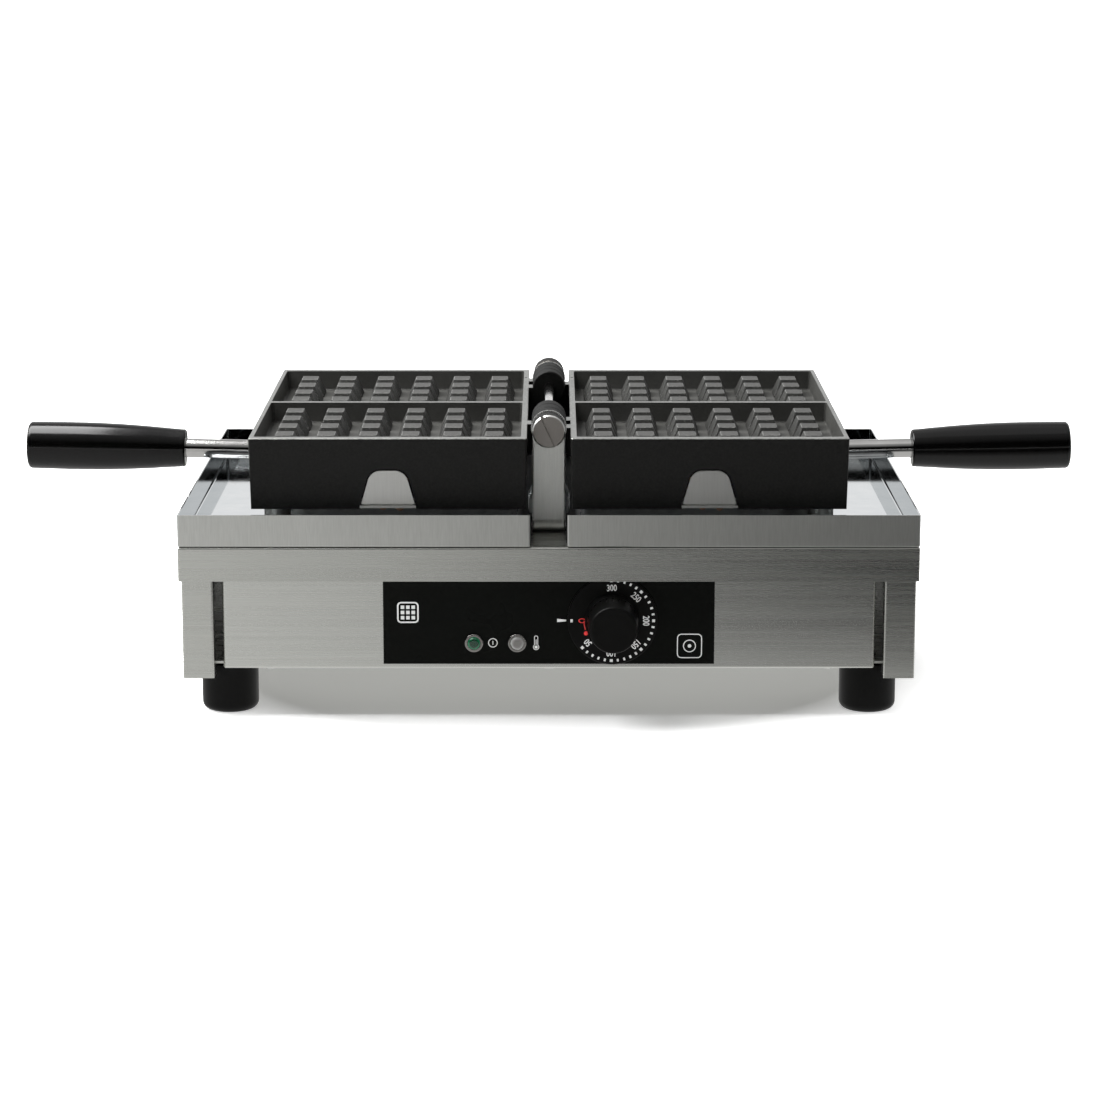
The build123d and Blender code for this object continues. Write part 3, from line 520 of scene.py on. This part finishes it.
def stripe(made, path, width, face_y, closed=False, proud=PROUD):
    """A thin flat line of that width along points."""
    count = len(path)
    rings = []
    for i, (x, z) in enumerate(path):
        before = path[i - 1] if closed or i else path[0]
        after = path[(i + 1) % count] if closed or i < count - 1 else path[-1]
        step = Vector((after[0] - before[0], after[1] - before[1])).normalized() * width / 2
        edges = (x - step.y, z + step.x), (x + step.y, z - step.x)
        depths = face_y + proud, face_y - proud
        rings.append([made.verts.new((a, y, b)) for y in depths for a, b in edges])
    last = count if closed else count - 1
    for i in range(last):
        a, b = rings[i], rings[(i + 1) % count]
        for p, q in ((0, 1), (1, 3), (3, 2), (2, 0)):
            made.faces.new((a[p], a[q], b[q], b[p]))
    if not closed:
        for ring in (rings[0], rings[-1]):
            made.faces.new((ring[0], ring[1], ring[3], ring[2]))


def arc(x, z, radius, start, end, steps, squeeze=1.0):
    turns = [radians(start + (end - start) * i / steps) for i in range(steps + 1)]
    return [(x + radius * cos(t), z + radius * squeeze * sin(t)) for t in turns]


def circle(x, z, radius, steps=28, squeeze=1.0):
    return arc(x, z, radius, 0, 360, steps, squeeze)[:-1]


def bar(x, z, width, height, turn=0.0):
    c, s = cos(radians(turn)), sin(radians(turn))
    corners = [(-width, -height), (width, -height), (width, height), (-width, height)]
    return [(x + (a * c - b * s) / 2, z + (a * s + b * c) / 2) for a, b in corners]


def rounded_square(x, z, half, corner):
    outline = []
    for i, (a, b) in enumerate(((1, 1), (-1, 1), (-1, -1), (1, -1))):
        outline += arc(x + a * (half - corner), z + b * (half - corner), corner, i * 90, i * 90 + 90, 6)
    return outline


def middle(name):
    """The x and z of the middle of a node's box."""
    low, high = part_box(name)
    return (low.x + high.x) / 2, (low.z + high.z) / 2


# ---- the dial's marks ---------------------------------------------------------------------
DIAL_X, DIAL_Z = middle("dial_skirt")
DIAL_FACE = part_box("dial_skirt")[0].y
POINTER_ANGLE = 180                  # degrees anticlockwise from the dial's right-hand side
SCALE_STEP = 9.17                    # degrees from dot to dot
DOTS_PER_NUMBER = 5
SCALE_RADIUS, NUMBER_RADIUS = 24.4 * MM, 19.8 * MM


def on_dial(angle, radius):
    return DIAL_X + radius * cos(radians(angle)), DIAL_Z + radius * sin(radians(angle))


def dial_dots(made):
    """A dot at every step, wider at the numbers, and one apart from them for off."""
    length, width, width_at_number = 1.7 * MM, 1.2 * MM, 1.75 * MM
    for step in range(-15, 11):
        angle = step * SCALE_STEP
        across = width_at_number if step % DOTS_PER_NUMBER == 0 else width
        prism(made, bar(*on_dial(angle, SCALE_RADIUS), length, across, angle), DIAL_FACE)
    prism(made, bar(*on_dial(POINTER_ANGLE, SCALE_RADIUS), 1.5 * MM, 1.9 * MM), DIAL_FACE)


def dial_numbers(made):
    """Each number stands with its top outwards."""
    narrowing = 0.76
    for i, number in enumerate(("300", "250", "200", "150", "100", "50")):
        angle = radians((2 - i) * DOTS_PER_NUMBER * SCALE_STEP)
        curve = bpy.data.curves.new("number", "FONT")
        curve.body = number
        curve.size = 5.4 * MM
        curve.align_x = curve.align_y = "CENTER"
        curve.offset = 0.09 * MM
        curve.extrude = PROUD
        curve.resolution_u = 3
        holder = bpy.data.objects.new("number", curve)
        mesh = bpy.data.meshes.new_from_object(holder)
        outward = Vector((cos(angle), 0, sin(angle)))
        across = Vector((sin(angle), 0, -cos(angle))) * narrowing
        centre = Vector((DIAL_X, DIAL_FACE, DIAL_Z)) + outward * NUMBER_RADIUS
        for vertex in mesh.vertices:
            a, b, c = vertex.co
            vertex.co = centre + across * a + outward * b + Vector((0, -c, 0))
        made.from_mesh(mesh)
        bpy.data.objects.remove(holder)


def dial_red_marks(made):
    """A flattened ring at off and a dot below it, joined by a line."""
    ring, dot_angle = on_dial(POINTER_ANGLE, 18.2 * MM), -154
    stripe(made, circle(*ring, 1.9 * MM, squeeze=0.62), 0.55 * MM, DIAL_FACE, closed=True)
    prism(made, circle(*on_dial(dot_angle, 17.6 * MM), 1.25 * MM), DIAL_FACE)
    line = [on_dial(POINTER_ANGLE + 19 * i / 8, 17.1 * MM) for i in range(9)]
    stripe(made, line, 0.5 * MM, DIAL_FACE, proud=PROUD / 2)


# ---- the fascia's marks -------------------------------------------------------------------
FASCIA_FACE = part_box("fascia_label")[0].y
LAMP_Z = middle("power_lamp_lens")[1]


def pointer(made):
    """Narrows towards the dial."""
    x, z = 5.0 * MM, DIAL_Z - 0.4 * MM
    end, half_left, half_right = x + 5.4 * MM, 1.0 * MM, 0.5 * MM
    outline = [(x, z - half_left), (end, z - half_right), (end, z + half_right), (x, z + half_left)]
    prism(made, outline, FASCIA_FACE)


def power_sign(made):
    """A bar in a ring."""
    x = -33.4 * MM
    stripe(made, circle(x, LAMP_Z, 2.6 * MM), 0.45 * MM, FASCIA_FACE, closed=True)
    prism(made, bar(x, LAMP_Z, 0.5 * MM, 2.4 * MM), FASCIA_FACE)


def thermometer_sign(made):
    x, top_z, bulb_z = -7.6 * MM, LAMP_Z + 3.3 * MM, LAMP_Z - 2.6 * MM
    outline = arc(x, top_z, 1.0 * MM, 0, 180, 10) + arc(x, bulb_z, 1.6 * MM, 128, 412, 20)
    stripe(made, outline, 0.4 * MM, FASCIA_FACE, closed=True)
    prism(made, circle(x, bulb_z, 0.95 * MM, 16), FASCIA_FACE)
    stripe(made, [(x, LAMP_Z - 1.2 * MM), (x, LAMP_Z + 2.0 * MM)], 0.5 * MM, FASCIA_FACE)


def fascia_marks(made):
    for mark in (pointer, power_sign, thermometer_sign):
        mark(made)


def fascia_signs(made):
    """Two plain signs: a waffle, as a rounded square with its grid, and a ring in a rounded square."""
    x, z = -84.0 * MM, 64.5 * MM
    pitch, hole = 3.2 * MM, 2.1 * MM
    stripe(made, rounded_square(x, z, 6.0 * MM, 2.0 * MM), 0.9 * MM, FASCIA_FACE, closed=True)
    for column in (-1, 0, 1):
        for row in (-1, 0, 1):
            prism(made, bar(x + column * pitch, z + row * pitch, hole, hole), FASCIA_FACE)
    x, z, line = 84.0 * MM, 44.0 * MM, 0.55 * MM
    stripe(made, rounded_square(x, z, 7.2 * MM, 2.4 * MM), line, FASCIA_FACE, closed=True)
    stripe(made, circle(x, z, 3.6 * MM), line, FASCIA_FACE, closed=True)
    prism(made, circle(x, z, 1.1 * MM), FASCIA_FACE)


# ---- the bends under the terminal covers --------------------------------------------------
BEND_START, BEND_LENGTH = 9.5 * MM, 15 * MM      # measured back from the cover's face
BEND_Z, BEND_SAG, BEND_LEAN = 126.6 * MM, 2.6 * MM, 3.2 * MM
BEND_RADIUS, BEND_STEPS = 1.9 * MM, 16


def tube(made, path, radius, sides=14):
    """A closed round tube along points."""
    rings = []
    for i, point in enumerate(path):
        before, after = path[max(i - 1, 0)], path[min(i + 1, len(path) - 1)]
        along = (Vector(after) - Vector(before)).normalized()
        first = along.cross(Vector((1, 0.02, 0))).normalized()
        second = along.cross(first)
        turns = [2 * pi * k / sides for k in range(sides)]
        spokes = [(first * cos(turn) + second * sin(turn)) * radius for turn in turns]
        rings.append([made.verts.new(Vector(point) + spoke) for spoke in spokes])
    for a, b in zip(rings, rings[1:]):
        for k in range(sides):
            made.faces.new((a[k], a[(k + 1) % sides], b[(k + 1) % sides], b[k]))
    made.faces.new(rings[0])
    made.faces.new(rings[-1][::-1])


def terminal_bends(side):
    """Makes two stiff insulating bends that come out under that side's terminal cover."""
    cover_x, cover_y = middle(side + "_terminal_cover")[0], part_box(side + "_terminal_cover")[0].y

    def make(made):
        for offset, dip in ((-3.2 * MM, 0.0), (7.0 * MM, 0.5 * MM)):
            path = []
            for i in range(BEND_STEPS + 1):
                t = i / BEND_STEPS
                x = cover_x + offset + BEND_LEAN * (t - 0.5)
                y = cover_y + BEND_START + BEND_LENGTH * t
                path.append((x, y, BEND_Z - dip - BEND_SAG * sin(pi * t)))
            tube(made, path, BEND_RADIUS)

    return make


def make_pieces():
    new_piece("dial_dots", dial_dots, "white_print", "dial")
    new_piece("dial_numbers", dial_numbers, "white_print", "dial")
    new_piece("dial_red_marks", dial_red_marks, "red_print", "dial")
    new_piece("fascia_marks", fascia_marks, "white_print", "base")
    new_piece("fascia_signs", fascia_signs, "white_print", "base")
    for side in SIDES:
        name, body = side + "_terminal_bends", side + "_iron"
        new_piece(name, terminal_bends(side), "ceramic", body, smooth=True)


# ---- stage --------------------------------------------------------------------------------
def make_camera():
    data = bpy.data.cameras.new("camera")
    data.lens, data.sensor_width = LENS, SENSOR
    camera = link_object("camera", data)
    camera.location = CAMERA_PLACE
    camera.rotation_euler = (radians(90 - TILT), 0, 0)
    bpy.context.scene.camera = camera


def plane(name, x_range, y_range, height):
    (x0, x1), (y0, y1) = x_range, y_range
    mesh = bpy.data.meshes.new(name)
    corners = [(x0, y0, height), (x1, y0, height), (x1, y1, height), (x0, y1, height)]
    mesh.from_pydata(corners, [], [(0, 1, 2, 3)])
    made = link_object(name, mesh)
    return made


def make_floor():
    """A pale floor that glows as painted light: faintly near the machine, and more so away from it, which washes
    out shadows cast there.
    """
    half_wide, half_deep = 0.215, 0.20           # an ellipse about as large as the machine
    g = material_graph("floor")
    cloud = g.noise(0.6, 2.0)
    base = g.mix(g.spread(cloud), (0.94, 0.94, 0.94), (0.96, 0.96, 0.96))
    away = g.vector("LENGTH", g.vector("MULTIPLY", g.point(), (1 / half_wide, 1 / half_deep, 0.0)))
    # painted light: the floor's glow grows with the distance from the machine
    glow = g.span(away, 0.92, 1.22, 0.06, 0.90)
    g.finish(base, g.spread(cloud, 0.85, 0.95), Specular_IOR_Level=0.0,
             Emission_Color=WHITE, Emission_Strength=glow)
    plane("floor", (-30, 30), (-30, 60), 0.0).data.materials.append(g.owner)


def make_reflection_card():
    """A glowing card on the floor that only reflections see.

    It is pale beside and behind the machine. In front it goes from pale on the left to dark on the right.
    """
    g = material_graph("card")
    x, y = g.part(g.point(), 0), g.part(g.point(), 1)
    across = g.tree.nodes.new("ShaderNodeValToRGB")
    stops = ((0.0, 0.72), (0.20, 0.72), (0.40, 0.52), (0.56, 0.20), (0.74, 0.02), (1.0, 0.02))
    ramp = across.color_ramp
    for place, _ in stops[1:-1]:
        ramp.elements.new(place)
    for element, (place, level) in zip(ramp.elements, stops):
        element.position = place
        element.color = (level, level, level * 0.985, 1.0)
    g.feed(g.span(x, -0.5, 0.5), across.inputs[0])
    beside = g.add(g.span(y, -0.42, -0.28, 0.0, 0.35), g.span(y, -0.24, -0.16, 0.0, 0.65))
    glow = g.mix(beside, across.outputs[0], (0.80, 0.80, 0.79))
    g.finish((0.0, 0.0, 0.0), 1.0, Specular_IOR_Level=0.0, Emission_Color=glow, Emission_Strength=1.0)
    card = plane("reflection_card", (-3.0, 3.0), (-2.6, 3.0), 2 * MM)
    card.data.materials.append(g.owner)
    card.visible_camera = card.visible_diffuse = card.visible_shadow = card.visible_transmission = False


def make_world():
    """A white backdrop that lights the machine from low behind, and hardly at all from in front."""
    world = bpy.data.worlds.new("world")
    bpy.context.scene.world = world
    g = Graph(world, "Background")
    away, up = [g.part(g.coordinates.outputs["Generated"], axis) for axis in (1, 2)]
    front = g.span(up, 0.45, 0.85, 0.0, 0.45)
    back = g.span(up, 0.20, 0.90, 1.00, 0.35)
    strength = g.span(away, -0.25, 0.25, front, back)
    seen = g.tree.nodes.new("ShaderNodeLightPath").outputs["Is Camera Ray"]
    g.feed(g.span(seen, 0.0, 1.0, strength, 1.0), g.shader.inputs["Strength"])
    g.feed(WHITE, g.shader.inputs["Color"])


def area_light(name, place, aim, size, power):
    data = bpy.data.lights.new(name, "AREA")
    data.shape = "RECTANGLE"
    data.size, data.size_y = size
    data.energy = power
    light = link_object(name, data)
    light.location = place
    light.rotation_euler = (Vector(aim) - Vector(place)).to_track_quat("-Z", "Y").to_euler()


def make_lights():
    make_world()
    area_light("left_softbox", (-1.12, 0.1, 1.5), aim=(-0.80, 0.1, 0.0), size=(1.3, 1.5), power=75.0)
    area_light("overhead", (0.3, 0.3, 2.4), aim=(0.0, 0.0, 0.0), size=(2.4, 1.8), power=6.0)


# ---- everything ---------------------------------------------------------------------------
make_camera()
make_materials()
dress_nodes()
soften_studs()
make_pieces()
make_floor()
make_reflection_card()
make_lights()
bpy.context.scene.view_settings.view_transform = "Standard"
